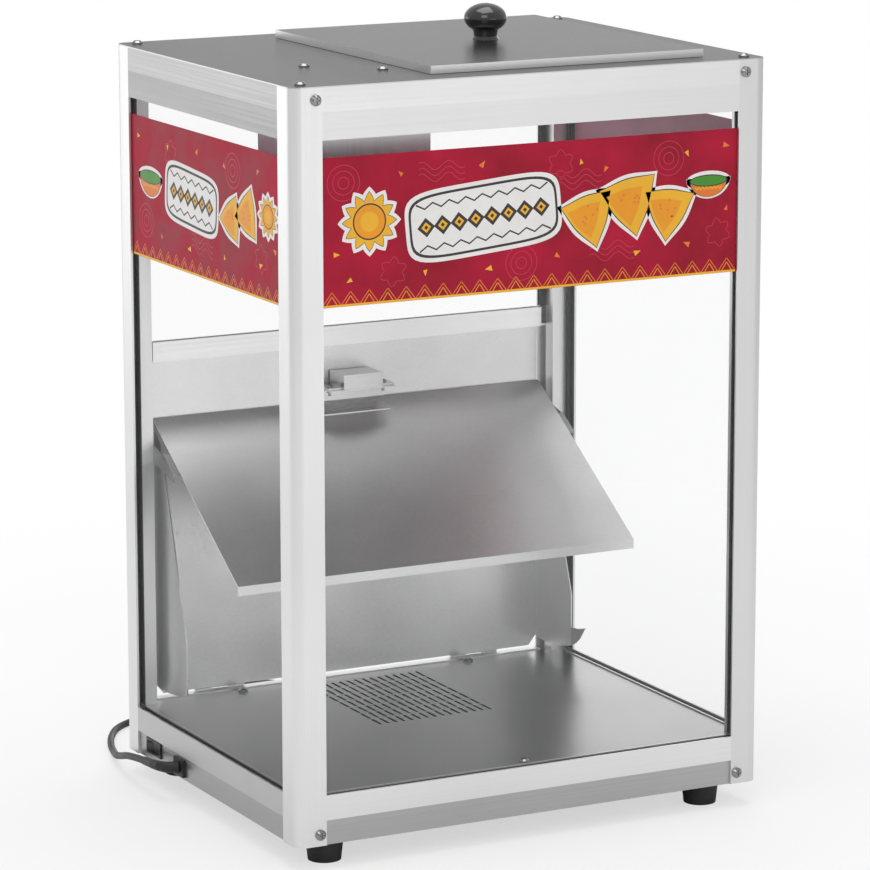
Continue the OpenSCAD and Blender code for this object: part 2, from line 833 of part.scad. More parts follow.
// Bracket on the side of a rear post's screw port, its leaf under the deflector
module deflector_brackets() {
    x0 = port_hi + fit / 2;
    x1 = x0 + bracket_arm_t;
    y0 = bracket_y;
    y1 = bracket_y + bracket_l;
    yp = frame_d - port_mid();
    color("gray") frame_place() both_sides() difference() {
        union() {
            bent([[y0, plate_z(y0) - plate_t - 8], [yp + 6, bracket_screw_z - 7],
                [yp + 6, bracket_screw_z + 7], [y1 + 4, plate_z(y1) - plate_t],
                [y0, plate_z(y0) - plate_t]], x0, x1);
            bent([[y0, plate_z(y0) - plate_t - 1.5], [y1, plate_z(y1) - plate_t - 1.5],
                [y1, plate_z(y1) - plate_t], [y0, plate_z(y0) - plate_t]], x0, x0 + bracket_leaf);
        }
        rod_x([x0 - 1, yp, bracket_screw_z], 4.4, bracket_arm_t + 2);
    }
}

module catch_ears() {
    for (s = [-1, 1]) translate([catch_x + s * catch_screw_dx, catch_rear_y - catch_l / 2, 0])
        children();
}

// Its foot lies on the deflector, its shelf carries the catch
module catch_bracket() {
    x0 = catch_x - catch_bracket_w / 2;
    y0 = catch_rear_y - catch_l + 1;
    y1 = plate_rear_y - sheet;
    y2 = plate_rear_y - catch_foot;
    color("silver") frame_place() difference() {
        bent([[y2, plate_z(y2)], [plate_rear_y, plate_z(plate_rear_y)],
            [plate_rear_y, catch_floor_z], [y0, catch_floor_z], [y0, catch_floor_z - sheet],
            [y1, catch_floor_z - sheet], [y1, plate_z(y1) + plate_t], [y2, plate_z(y2) + plate_t]],
            x0, x0 + catch_bracket_w);
        catch_ears() translate([0, 0, catch_floor_z - 3]) cylinder(d = 3.4, h = 6, $fn = 32);
    }
}

module catch_body() {
    y0 = catch_rear_y - catch_l;
    color("gainsboro") frame_place() difference() {
        union() {
            span([catch_x - catch_w / 2, y0, catch_floor_z],
                [catch_x + catch_w / 2, catch_rear_y, catch_floor_z + catch_h]);
            for (s = [-1, 1]) translate([catch_x + s * catch_w / 2, y0 + 4, catch_floor_z])
                translate([s > 0 ? -1 : -14, 0, 0]) cube([15, catch_l - 8, 2]);
        }
        catch_ears() translate([0, 0, catch_floor_z - 1]) cylinder(d = 3.4, h = 5, $fn = 32);
        span([catch_x - catch_w / 2 + 5, catch_rear_y - 12, catch_floor_z + 3],
            [catch_x + catch_w / 2 - 5, catch_rear_y + 1, catch_floor_z + catch_h - 3]);
    }
}

module catch_magnet() {
    color("dimgray") frame_place()
        span([catch_x - catch_w / 2 + 5.1, catch_rear_y - 11.9, catch_floor_z + 3.1],
            [catch_x + catch_w / 2 - 5.1, catch_rear_y + magnet_proud, catch_floor_z + catch_h - 3.1]);
}

module catch_fasteners() {
    color("silver") frame_place() catch_ears() {
        translate([0, 0, catch_floor_z + 2]) pan_screw(9, 3, 6.2, 2.2);
        translate([0, 0, catch_floor_z - sheet - 2.6]) difference() {
            cylinder(d = 6.4, h = 2.6, $fn = 6);
            translate([0, 0, -1]) cylinder(d = 3.02, h = 5, $fn = 32);
        }
    }
}

// ---- Rear door ----

// Side view of a cheek, y running backwards from the panel
module cheek_profile() {
    d = cheek_depth;
    z0 = door_bottom_z;
    top = plate_z(door_y - 9.5) - plate_t - 5.5;
    polygon([[0, z0 + 11], [-9, z0 + 8], [-30, z0 + 8], [-50, z0 + 10], [9 - d, z0 + 12.5],
        [-d, z0 + 15], [-d, z0 + 65], [-60, z0 + 99], [-51.5, z0 + 134], [-19.5, top - 10],
        [-9.5, top], [0, top + 6]]);
}

// Side view of the stop, drawn from the bend at y = 0
module hook_profile() {
    z0 = door_bottom_z;
    polygon([[0.3, z0 + 15], [-5, z0 + 18], [-10, z0 + 23], [-hook_l, z0 + 34.5],
        [-hook_l / 2, z0 + 32.5], [0.3, z0 + 33]]);
}

module rear_door() {
    color("gainsboro") frame_place() difference() {
        union() {
            translate([door_side, door_y, 0]) door_panel();
            both_sides() translate([door_side, door_y + sheet / 2, 0]) {
                rotate([90, 0, 90]) linear_extrude(sheet) cheek_profile();
                translate([0, -cheek_depth, 0]) rotate([0, 0, -hook_angle])
                    rotate([90, 0, 90]) linear_extrude(sheet) hook_profile();
            }
        }
        rod_y([frame_w / 2, door_y - 1, door_knob_z], knob_screw_d + 0.4, sheet + 2);
    }
}

// The panel, its lower corners cut off
module door_panel() {
    c = 10;
    translate([0, sheet, 0]) rotate([90, 0, 0]) linear_extrude(sheet)
        polygon([[0, door_bottom_z + c], [c * 0.8, door_bottom_z],
            [door_w - c * 0.8, door_bottom_z], [door_w, door_bottom_z + c],
            [door_w, door_top_z], [0, door_top_z]]);
}

module strike_plate() {
    color("silver") frame_place()
        span([catch_x - catch_w / 2 + 2, door_y - 1, catch_floor_z + 1],
            [catch_x + catch_w / 2 - 2, door_y, catch_floor_z + catch_h - 1]);
}

module door_knob() {
    color("black") frame_place() translate([frame_w / 2, door_y + sheet, door_knob_z])
        rotate([-90, 0, 0]) knob();
}

module door_knob_screw() {
    color("silver") frame_place() translate([frame_w / 2, door_y, door_knob_z])
        rotate([90, 0, 0]) pan_screw(12, knob_screw_d - 0.02, 9, 0.9);
}

module hinge_places() {
    both_sides() translate([hinge_inset, hinge_y, hinge_z]) children();
}

// Barrel segment from x0 to x1, without its bore
module barrel(x0, x1) {
    rod_x([x0, 0, 0], barrel_d, x1 - x0);
}

// Upright leaf on the rear face of the base rail, with the barrel's two end segments
module hinge_fixed_leaves() {
    h = hinge_l / 2;
    k = hinge_l / 6;
    y0 = frame_d - hinge_y;
    color("silver") frame_place() hinge_places() difference() {
        union() {
            for (s = [-1, 1]) {
                barrel(s > 0 ? k + 0.2 : -h, s > 0 ? h : -k - 0.2);
                span([s > 0 ? k + 0.2 : -h, y0, -5], [s > 0 ? h : -k - 0.2, y0 + leaf_t, -2]);
            }
            span([-h, y0, hinge_screw_z - 7], [h, y0 + leaf_t, -3.4]);
        }
        rod_x([-h - 1, 0, 0], hinge_pin_d + run, hinge_l + 2);
        for (s = [-1, 1]) rod_y([s * hinge_l * 0.3, y0 - 1, hinge_screw_z], 3.2, leaf_t + 2);
    }
}

// Leaf on the rear face of the door's panel, with the barrel's middle segment
module hinge_door_leaves() {
    h = hinge_l / 2;
    k = hinge_l / 6;
    y0 = door_y + sheet - hinge_y;
    color("silver") frame_place() hinge_places() difference() {
        union() {
            barrel(-k + 0.2, k - 0.2);
            span([-k + 0.2, y0, -1], [k - 0.2, y0 + leaf_t, barrel_d / 2 + 1]);
            span([-h, y0, barrel_d / 2 + 0.5], [h, y0 + leaf_t, leaf_h]);
        }
        rod_x([-h - 1, 0, 0], hinge_pin_d + run, hinge_l + 2);
    }
}

module hinge_pins() {
    color("gray") frame_place() hinge_places() {
        rod_x([-hinge_l / 2, 0, 0], hinge_pin_d, hinge_l);
    }
}

// ---- Lamp ----

module lamp_shade() {
    s = shade_side / 2;
    color("lightgray") frame_place() translate([lamp_x, lamp_y, 0]) difference() {
        span([-s, -s, shade_z], [s, s, post_top]);
        span([-s + sheet, -s + sheet, shade_z - 1], [s - sheet, s - sheet, post_top - sheet]);
        for (k = [-1, 1]) rod_z([k * shade_screw, -k * shade_screw, post_top - 4], screw_d, 6);
    }
}

module lamp_holder() {
    s = shade_side / 2;
    color("ivory") frame_place() translate([lamp_x - s + sheet, lamp_y, bulb_z])
        rotate([0, 90, 0]) rotate_extrude($fn = 48)
            polygon([[0, 0], [holder_flange_r, 0], [holder_flange_r, holder_flange_t],
                [holder_r, holder_flange_t], [holder_r, holder_l], [holder_bore_r, holder_l],
                [holder_bore_r, holder_floor], [0, holder_floor]]);
}

module lamp_bulb() {
    s = shade_side / 2;
    r = bulb_d / 2;
    color("white", 0.8) frame_place() translate([lamp_x - s + sheet + bulb_seat, lamp_y, bulb_z])
        rotate([0, 90, 0]) rotate_extrude($fn = 64) union() {
            polygon([[0, 0], [bulb_cap_r, 1.5], [bulb_cap_r, bulb_cap_l], [r * 0.49, bulb_cap_l + 8],
                [r * 0.86, bulb_cap_l + 20], [0, bulb_cap_l + 20]]);
            intersection() {
                translate([0, bulb_centre]) circle(r = r, $fn = 96);
                square([r + 1, bulb_centre + r + 1]);
            }
        }
}

// ---- Fan and heater ----

module fan_housing() {
    s = fan_side / 2;
    color("dimgray") frame_place() fan_place() translate([0, 0, fan_z]) difference() {
        union() {
            difference() {
                span([-s, -s, 0], [s, s, fan_h]);
                rod_z([0, 0, -1], fan_bore_d, fan_h + 2);
            }
            for (a = [0, 120, 240]) rotate([0, 0, a])
                translate([5, -2, 0]) cube([s - 5.5, 4, 3]);
            cylinder(d = fan_hub_d, h = 4, $fn = 48);
            cylinder(d = 10, h = 12, $fn = 32);
        }
        rod_z([0, 0, -1], fan_shaft_d + run, 20);
        fan_corners() rod_z([0, 0, -1], 4.3, fan_h + 2);
    }
}

module fan_impeller() {
    hub = fan_hub_d / 2;
    tip = fan_bore_d / 2 - 1.5;
    color("black") frame_place() fan_place() translate([0, 0, fan_z]) {
        difference() {
            rod_z([0, 0, 5], fan_hub_d, fan_h - 7);
            rod_z([0, 0, 4], fan_hub_d - 4, fan_h - 8);
        }
        rod_z([0, 0, 1], fan_shaft_d, fan_h - 4);
        intersection() {
            for (i = [0 : fan_blades - 1]) rotate([0, 0, i * 360 / fan_blades])
                translate([hub - 1, 0, fan_h / 2 + 1]) rotate([38, 0, 0])
                    translate([0, -12, -0.8]) cube([tip - hub + 4, 24, 1.6]);
            difference() {
                rod_z([0, 0, 5.5], 2 * tip, fan_h - 8);
                rod_z([0, 0, 4], fan_hub_d - 1, fan_h);
            }
        }
    }
}

module fan_screws() {
    color("silver") frame_place() fan_place() fan_corners()
        translate([0, 0, fan_z + fan_h]) pan_screw(fan_h + 3, 4, 7.6, 2.2);
}

function heater_y(i) = (i - 1.5) * heater_pitch;

// Serpentine tube: four runs along X joined by round bends
module heater_element() {
    l = heater_l / 2;
    r = heater_pitch / 2;
    color("darkslategray") frame_place() fan_place() translate([0, 0, heater_z]) {
        for (i = [0 : 3]) translate([0, heater_y(i), 0]) rod_x([-l, 0, 0], heater_d, heater_l);
        for (i = [0, 3]) translate([0, heater_y(i), 0]) {
            rod_x([-l - 9, 0, 0], heater_d, 9 + eps);
            rod_x([-l - 17, 0, 0], 3, 8 + eps);
        }
        for (i = [0 : 2]) translate([i % 2 ? -l : l, heater_y(i) + r, 0])
            rotate([0, 0, i % 2 ? 90 : -90]) rotate_extrude(angle = 180, $fn = 48)
                translate([r, 0]) circle(d = heater_d, $fn = 32);
    }
}

// Two upright plates that the heater's runs pass through
module heater_brackets() {
    w = heater_y(3) + 10;
    color("silver") frame_place() fan_place() for (s = [-1, 1])
        translate([s * (heater_l / 2 + 0.6), 0, 0]) difference() {
            union() {
                span([-0.5, -w, sheet], [0.5, w, floor_top - sheet - 0.5]);
                span([s > 0 ? -0.5 : -10, -w, sheet], [s > 0 ? 10 : 0.5, w, sheet + 1]);
            }
            for (i = [0 : 2]) if (i % 2 == (s > 0 ? 0 : 1))
                span([-2, heater_y(i) - heater_d / 2 - 0.1, heater_z - heater_d / 2 - 0.1],
                    [2, heater_y(i + 1) + heater_d / 2 + 0.1, heater_z + heater_d / 2 + 0.1]);
            if (s < 0) for (i = [0, 3])
                rod_x([-2, heater_y(i), heater_z], heater_d + 0.1, 4);
        }
}

module thermal_cutout() {
    color("black") frame_place() fan_place()
        translate([heater_l / 2 + 1.1, 0, heater_z - 14]) {
            rod_x([0, 0, 0], 15, 7);
            span([7 - eps, -8, -0.4], [13, -3, 0.4]);
            span([7 - eps, 3, -0.4], [13, 8, 0.4]);
        }
}

module terminal_block() {
    color("ivory") frame_place() translate([terminal_x, terminal_y, sheet]) difference() {
        span([0, 0, 0], [terminal_w, 3 * terminal_pitch, terminal_h]);
        for (i = [0.5 : 2.5]) {
            rod_x([-1, i * terminal_pitch, terminal_h / 2 + 0.5], 4, terminal_w + 2);
            rod_z([terminal_w * 0.3, i * terminal_pitch, terminal_h / 2 + 0.5], 3.4, terminal_h);
        }
    }
}

// ---- Switch ----

module switch_housing() {
    l = switch_l / 2;
    h = switch_h / 2;
    color("black") frame_place() translate([pan_out, switch_y, switch_z]) difference() {
        union() {
            span([-bezel_t, -l, -h], [0, l, h]);
            span([-eps, -l + 2.2, -h + 1.2], [18, l - 2.2, h - 1.2]);
            for (y = [-6, 0, 6]) span([18 - eps, y - 2.4, -0.4], [26, y + 2.4, 0.4]);
        }
        difference() {
            span([-bezel_t - 1, -l + 3.6, -h + 2.4], [12, l - 3.6, h - 2.4]);
            rod_z([4, 0, -h], 2 - run, switch_h);
        }
    }
}

// The rocker turns about a pin line along Z, 4 mm behind the pan's wall
module switch_rocker() {
    l = switch_l / 2 - 5;
    h = switch_h / 2 - 2.4 - fit;
    color("black") frame_place() translate([pan_out + 4, switch_y, switch_z])
        rotate([0, 0, rocker_tilt]) difference() {
            translate([0, 0, -h]) linear_extrude(2 * h) union() {
                polygon([[-6.4, -l], [-5.2, 0], [-6.4, l], [-1, l - 1], [3, 3], [3, -3],
                    [-1, 1 - l]]);
            }
            translate([0, 0, -h - 1]) cylinder(d = 2, h = 2 * h + 2, $fn = 32);
        }
}

// ---- Feet and screws ----

module feet() {
    color("black") frame_place() foot_places() translate([0, 0, -foot_h]) difference() {
        cylinder(d1 = foot_d_bottom, d2 = foot_d_top, h = foot_h, $fn = 64);
        translate([0, 0, -1]) cylinder(d = 11, h = 6, $fn = 32);
        translate([0, 0, -1]) cylinder(d = screw_hole_d, h = foot_h + 2, $fn = 32);
    }
}

// Foot screws with their nuts, and the fan's four screws
module base_screws() {
    color("silver") frame_place() {
        foot_places() {
            translate([0, 0, 5 - foot_h]) rotate([180, 0, 0]) pan_screw(foot_h, screw_d, 9.5, 2.8);
            translate([0, 0, sheet]) nut(9.2, screw_d, 4);
        }
        fan_place() fan_corners()
            translate([0, 0, fan_z + fan_h]) pan_screw(fan_h + 3, 4, 7.6, 2.2);
    }
}

// Hexagonal nut on z = 0
module nut(across, d, h) {
    difference() {
        cylinder(d = across, h = h, $fn = 6);
        translate([0, 0, -1]) cylinder(d = d + 0.04, h = h + 2, $fn = 32);
    }
}

module frame_screws() {
    color("silver") frame_place() {
        corner_screw_places() pan_screw(14, port_bore_d - 0.04);
        lamp_screw_places() pan_screw(8, screw_d - 0.04);
        lamp_screw_places() translate([0, 0, -2 * sheet - 4]) nut(9.2, screw_d, 4);
        floor_screw_places() pan_screw(7, screw_d - 0.04);
        for (x = [frame_screw_x, frame_w - frame_screw_x])
            for (z = [screw_low_z(), screw_high_z()]) {
                translate([x, 0, z]) rotate([90, 0, 0]) pan_screw(5, screw_d - 0.04);
                translate([x, frame_d, z]) rotate([-90, 0, 0]) pan_screw(5, screw_d - 0.04);
            }
        hinge_places() for (s = [-1, 1])
            translate([s * hinge_l * 0.3, frame_d + leaf_t - hinge_y, hinge_screw_z])
                rotate([-90, 0, 0]) pan_screw(3.4, 2.96, 5.6, 1.8);
        both_sides() translate([port_hi + fit / 2 + bracket_arm_t, frame_d - port_mid(),
            bracket_screw_z]) rotate([0, 90, 0]) pan_screw(6, 3.96, 7, 2.2);
    }
}

// ---- Lead ----

// Centre line of the sleeve that guides the lead from the gland round to the rear
SLEEVE = [[pan_out - 3 - origin_x, gland_y - origin_y, gland_z + foot_h], [-235, 51.5, 32.5],
    [-240, 55, 32.5], [-243, 61, 32.5], [-244.5, 70, 32], [-244.5, 81, 31], CORD_ROUTE[0]];

module cable_gland() {
    color("black") {
        frame_place() {
            span([pan_out - 3, gland_y - 10, gland_z - 8], [pan_out, gland_y + 10, gland_z + 8]);
            rod_x([pan_out, gland_y, gland_z], 12, 11);
            difference() {
                rod_x([pan_out + sheet, gland_y, gland_z], 17, 4);
                rod_x([pan_out, gland_y, gland_z], 12.04, 6);
            }
        }
        sweep(SLEEVE, 5.6, cord_d / 2 + 0.4, 16);
    }
}

module cord_lead() {
    color("black") sweep(smooth(CORD_ROUTE), cord_d / 2, cord_d / 2);
}

module cord_coil() {
    color("black") translate([COIL_X, COIL_Y, 0.25]) rotate_extrude($fn = 96)
        translate([coil_r_in, 0]) square([coil_r_out - coil_r_in, coil_h]);
}

module cord_tail() {
    color("black") sweep(smooth(CORD_TAIL), cord_d / 2, cord_d / 2);
}

// Round-bodied plug with two blades and an earth pin, lying on the floor at the tail's end
module mains_plug() {
    e = CORD_TAIL[len(CORD_TAIL) - 1];
    d = unit(e - CORD_TAIL[len(CORD_TAIL) - 2]);
    color("black") translate(e) rotate([0, 0, atan2(d[1], d[0])]) rotate([0, 90, 0]) {
        rotate_extrude($fn = 48)
            polygon([[0, 0], [4.5, 0], [6, 15], [9.5, 18], [10.5, 30], [13.5, 40], [13.5, 47],
                [0, 47]]);
        for (y = [-6.4, 6.4]) translate([-5, y - 0.75, 47]) cube([6.3, 1.5, 17]);
        translate([8, 0, 47]) cylinder(d = 4.8, h = 20, $fn = 32);
    }
}

post_front_left();
post_front_right();
post_rear_left();
post_rear_right();
top_rail_front();
top_rail_rear();
top_rails_side();
glazing_rail_front();
glazing_rail_rear();
glazing_rails_side();
base_rail_front();
base_rail_rear();
base_rails_side();
mid_rail_rear();
base_pan();
floor_plate();
top_plate();
glass_front();
glass_left();
glass_right();
glass_rear();
gaskets();
banner_front();
banner_left();
banner_right();
lid();
lid_knob();
lid_knob_screw();
deflector_plate();
deflector_brackets();
catch_bracket();
catch_body();
catch_magnet();
catch_fasteners();
rear_door();
strike_plate();
door_knob();
door_knob_screw();
hinge_fixed_leaves();
hinge_door_leaves();
hinge_pins();
lamp_shade();
lamp_holder();
lamp_bulb();
fan_housing();
fan_impeller();
heater_element();
heater_brackets();
thermal_cutout();
terminal_block();
switch_housing();
switch_rocker();
feet();
base_screws();
frame_screws();
cable_gland();
cord_lead();
cord_coil();
cord_tail();
mains_plug();
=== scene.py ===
# %% [markdown]
# # A nacho chip warming cabinet
# The CAD frame is loaded first. Everything else, camera, lead, finishes and print, is placed
# from it, in metres, with +Z up and the glass front towards -Y.

# %% Load the frame
import math
import bpy
import numpy as np
from mathutils import Matrix, Vector


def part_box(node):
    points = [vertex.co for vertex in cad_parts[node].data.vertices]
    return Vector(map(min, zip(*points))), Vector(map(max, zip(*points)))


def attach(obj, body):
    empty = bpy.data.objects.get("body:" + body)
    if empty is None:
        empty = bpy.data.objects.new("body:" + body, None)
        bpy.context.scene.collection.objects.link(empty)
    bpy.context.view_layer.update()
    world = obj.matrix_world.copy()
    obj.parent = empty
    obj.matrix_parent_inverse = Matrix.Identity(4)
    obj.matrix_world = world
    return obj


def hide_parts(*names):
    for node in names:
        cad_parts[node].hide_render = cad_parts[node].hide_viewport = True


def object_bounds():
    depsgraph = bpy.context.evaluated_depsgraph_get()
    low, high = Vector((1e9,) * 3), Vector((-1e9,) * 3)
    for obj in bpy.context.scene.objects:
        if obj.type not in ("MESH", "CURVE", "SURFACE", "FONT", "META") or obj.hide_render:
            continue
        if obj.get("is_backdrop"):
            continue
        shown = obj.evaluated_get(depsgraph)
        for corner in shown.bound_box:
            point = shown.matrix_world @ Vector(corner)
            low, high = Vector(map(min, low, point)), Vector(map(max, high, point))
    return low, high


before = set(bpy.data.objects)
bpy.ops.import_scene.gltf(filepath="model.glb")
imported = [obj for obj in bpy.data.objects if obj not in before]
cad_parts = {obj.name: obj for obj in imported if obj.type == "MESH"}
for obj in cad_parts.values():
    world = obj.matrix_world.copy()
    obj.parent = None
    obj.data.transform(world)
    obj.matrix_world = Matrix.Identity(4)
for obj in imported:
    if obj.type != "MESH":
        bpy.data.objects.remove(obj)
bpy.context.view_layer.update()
MM = 0.001

# %% [markdown]
# ## Camera
# A long lens from the front left and a little above. Yaw turns to the right of +Y, pitch is
# below the horizon.

# %% Camera
def add_camera(place, yaw, pitch, roll, lens):
    """Camera whose forward vector is (sin y cos p, cos y cos p, sin p), rolled about it."""
    forward = Vector((math.sin(yaw) * math.cos(pitch), math.cos(yaw) * math.cos(pitch),
                      math.sin(pitch)))
    right = Vector((math.cos(yaw), -math.sin(yaw), 0))
    up = right.cross(forward)
    turned = right * math.cos(roll) + up * math.sin(roll)
    turned_up = up * math.cos(roll) - right * math.sin(roll)
    data = bpy.data.cameras.new("camera")
    data.lens = lens
    data.sensor_width = 36
    data.clip_start, data.clip_end = 0.1, 50
    cam = bpy.data.objects.new("camera", data)
    bpy.context.collection.objects.link(cam)
    cam.matrix_world = Matrix.Translation(place) @ Matrix(
        (turned, turned_up, -forward)).transposed().to_4x4()
    bpy.context.scene.camera = cam


FRAME_ZERO = Vector((-0.2285, -0.196, 0.022))
add_camera(FRAME_ZERO + Vector((-1.5352, -3.2262, 1.1012)), yaw=0.4770, pitch=-0.2047,
           roll=-0.0012, lens=181.2)

# %% [markdown]
# ## The lead
# It leaves the gland's sleeve, drops to the table, and lies in a small coil behind the
# cabinet. The same route points are in the CAD source.

# %% Lead
CORD_D = 0.0065
ROUTE = [(-244.5, 92, 30), (-243.5, 114, 27), (-240.5, 139, 22), (-236, 164, 15),
         (-230, 189, 8.5), (-222, 214, 4.5), (-214, 239, 3.5), (-202, 266, 3.5),
         (-184, 292, 3.5), (-158, 309, 3.5), (-124, 316, 3.5), (-80, 316, 3.5), (-38, 316, 3.5)]
TAIL = [(-76, 294, 13), (-60, 310, 17.5), (-38, 316, 22), (-21, 312.5, 22.5), (-7, 303, 22),
        (8, 288, 19.5), (22, 274, 16), (34, 262, 14)]
COIL = (-38, 272.3)


def through(points, n):
    """Catmull-Rom curve: n samples a span of the cubic that passes through the points."""
    p = np.array(points, float)
    q = np.vstack([p[0], p, p[-1]])
    t = (np.arange(n) / n)[:, None]
    spans = [0.5 * (2 * b + (c - a) * t + (2 * a - 5 * b + 4 * c - d) * t ** 2
                    + (3 * b - a - 3 * c + d) * t ** 3)
             for a, b, c, d in zip(q, q[1:], q[2:], q[3:])]
    return np.vstack(spans + [p[-1:]])


def coil_turns(centre, outer, inner, low, high, n=40):
    """Clockwise turns: out, in, in one layer up, out; each change takes a sixth of a turn."""
    t = np.linspace(0, 3 + 5 / 6, int(n * 3.83) + 1)
    turn = np.floor(t)
    s = np.clip((t % 1 - 5 / 6) * 6, 0, 1)
    s = s * s * (3 - 2 * s)
    r = np.select([turn == 0, turn == 1, turn == 2], [outer + (inner - outer) * s, inner,
                                                       inner + (outer - inner) * s], outer)
    z = np.select([turn == 0, turn == 1], [low, low + (high - low) * s], high)
    a = math.pi / 2 - 2 * math.pi * t
    return np.stack([centre[0] + r * np.cos(a), centre[1] + r * np.sin(a), z + 0 * t], -1)


def curve_object(name, points, radius):
    """A poly curve swept by a unit circle, each point's own radius giving the real one."""
    data = bpy.data.curves.new(name, "CURVE")
    data.dimensions = "3D"
    data.bevel_depth = 1.0
    data.bevel_resolution = 6
    data.use_fill_caps = True
    line = data.splines.new("POLY")
    line.points.add(len(points) - 1)
    line.points.foreach_set("co", np.hstack([points, np.ones((len(points), 1))]).ravel())
    line.points.foreach_set("radius", np.full(len(points), radius))
    line.use_smooth = True
    ob = bpy.data.objects.new(name, data)
    bpy.context.collection.objects.link(ob)
    return ob


lead_line = np.vstack([through(ROUTE, 5), coil_turns(COIL, 43.7, 34.3, 3.5, 12.9)[1:],
                       through(TAIL, 5)[1:]]) * MM
LEAD_LENGTH = float(np.linalg.norm(np.diff(lead_line, axis=0), axis=1).sum())
lead = curve_object("mains_lead", lead_line, CORD_D / 2)
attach(lead, "cabinet")
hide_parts("cord_lead", "cord_coil", "cord_tail")
print("lead", round(LEAD_LENGTH, 4), "m,", len(lead_line), "points")

# %% [markdown]
# ## Finishes
# Every finish is built from nodes. Brushed, rolled and extruded metal share one recipe:
# noise stretched along the grain changes colour, roughness and height a little.

# %% Node helpers
def new_material(name):
    """Node material with a Principled shader; returns the material, the shader and the tree."""
    m = bpy.data.materials.new(name)
    m.use_nodes = True
    t = m.node_tree
    return m, t.nodes["Principled BSDF"], t


def add(tree, kind, **values):
    """A node of the given kind, with its properties and inputs set by name."""
    n = tree.nodes.new(kind)
    for key, v in values.items():
        if hasattr(n, key):
            setattr(n, key, v)
        else:
            n.inputs[key.replace("_", " ")].default_value = v
    return n


def grain(tree, stretch, scale, detail=3.0):
    """Noise in object space, squeezed across the grain: stretch is the scale along x, y, z."""
    coord = add(tree, "ShaderNodeTexCoord")
    mapping = add(tree, "ShaderNodeMapping")
    mapping.inputs["Scale"].default_value = stretch
    noise = add(tree, "ShaderNodeTexNoise", Scale=scale, Detail=detail)
    tree.links.new(coord.outputs["Object"], mapping.inputs["Vector"])
    tree.links.new(mapping.outputs["Vector"], noise.inputs["Vector"])
    return noise.outputs["Fac"]


def spread(tree, fac, low, high):
    """Maps a 0..1 value so that its middle half fills low..high."""
    r = add(tree, "ShaderNodeMapRange")
    r.inputs["From Min"].default_value = 0.3
    r.inputs["From Max"].default_value = 0.7
    r.inputs["To Min"].default_value = low
    r.inputs["To Max"].default_value = high
    tree.links.new(fac, r.inputs["Value"])
    return r.outputs["Result"]


def tinted(tree, fac, dark, light):
    """Colour between dark and light, by a 0..1 value."""
    mix = add(tree, "ShaderNodeMix", data_type="RGBA")
    mix.inputs["A"].default_value = (*dark, 1)
    mix.inputs["B"].default_value = (*light, 1)
    tree.links.new(fac, mix.inputs["Factor"])
    return mix.outputs["Result"]


def bump(tree, height, shader, distance, strength=0.3):
    """Lets a height field tilt the shader's normal."""
    b = add(tree, "ShaderNodeBump", Strength=strength, Distance=distance)
    tree.links.new(height, b.inputs["Height"])
    tree.links.new(b.outputs["Normal"], shader.inputs["Normal"])


def grey(level, warm=0.0):
    """A grey of the given level, its blue a little lower where warm is above zero."""
    return (level * (1 + warm), level, level * (1 - warm))


def metal(name, level, rough, stretch, vary, metallic=1.0, scratch=0.00002, blotch=0.03,
          uneven=0.045):
    """Metal with a grain: colour = (level +- vary) (1 - blotch .. 1), roughness = rough
    +- uneven, and a height field of scratch metres. stretch is the grain's scale on x, y, z."""
    m, shader, tree = new_material(name)
    fine = spread(tree, grain(tree, stretch, 1.0, 4.0), 0.0, 1.0)
    broad = spread(tree, grain(tree, (9, 9, 9), 1.0, 2.0), 0.0, 1.0)
    streaks = tinted(tree, fine, grey(level - vary), grey(level + vary))
    cloudy = tinted(tree, broad, grey(1 - blotch), grey(1.0))
    product = add(tree, "ShaderNodeMix", data_type="RGBA", blend_type="MULTIPLY")
    product.inputs["Factor"].default_value = 1.0
    tree.links.new(streaks, product.inputs["A"])
    tree.links.new(cloudy, product.inputs["B"])
    tree.links.new(product.outputs["Result"], shader.inputs["Base Color"])
    tree.links.new(spread(tree, fine, rough - uneven, rough + uneven), shader.inputs["Roughness"])
    shader.inputs["Metallic"].default_value = metallic
    bump(tree, fine, shader, scratch, 0.25)
    return m


def painted_light_by_facing(m, level):
    """Painted light by facing: upright faces get a lighter grey, as if lit, and flat faces keep
    the darker colour: colour = edge + |normal z| (face - edge).
    """
    tree = m.node_tree
    socket = tree.nodes["Principled BSDF"].inputs["Base Color"]
    face = socket.links[0].from_socket
    split = add(tree, "ShaderNodeSeparateXYZ")
    tree.links.new(add(tree, "ShaderNodeNewGeometry").outputs["Normal"], split.inputs["Vector"])
    upright = add(tree, "ShaderNodeMath", operation="ABSOLUTE")
    tree.links.new(split.outputs["Z"], upright.inputs[0])
    mix = add(tree, "ShaderNodeMix", data_type="RGBA")
    mix.inputs["A"].default_value = (*grey(level), 1)
    tree.links.new(face, mix.inputs["B"])
    tree.links.new(upright.outputs[0], mix.inputs["Factor"])
    tree.links.new(mix.outputs["Result"], socket)
    return m


def moulded(name, dark, light, rough, size=900, specular=0.5, coat=0.0, depth=0.00004):
    """Plastic, rubber or ceramic: two near colours and a fine pebbled surface."""
    m, shader, tree = new_material(name)
    fine = grain(tree, (1, 1, 1), size, 2.0)
    broad = grain(tree, (1, 1, 1), 60, 3.0)
    tree.links.new(tinted(tree, spread(tree, broad, 0, 1), dark, light),
                   shader.inputs["Base Color"])
    tree.links.new(spread(tree, broad, rough - 0.05, rough + 0.06), shader.inputs["Roughness"])
    shader.inputs["Specular IOR Level"].default_value = specular
    shader.inputs["Coat Weight"].default_value = coat
    shader.inputs["Coat Roughness"].default_value = 0.08
    bump(tree, fine, shader, depth, 0.3)
    return m


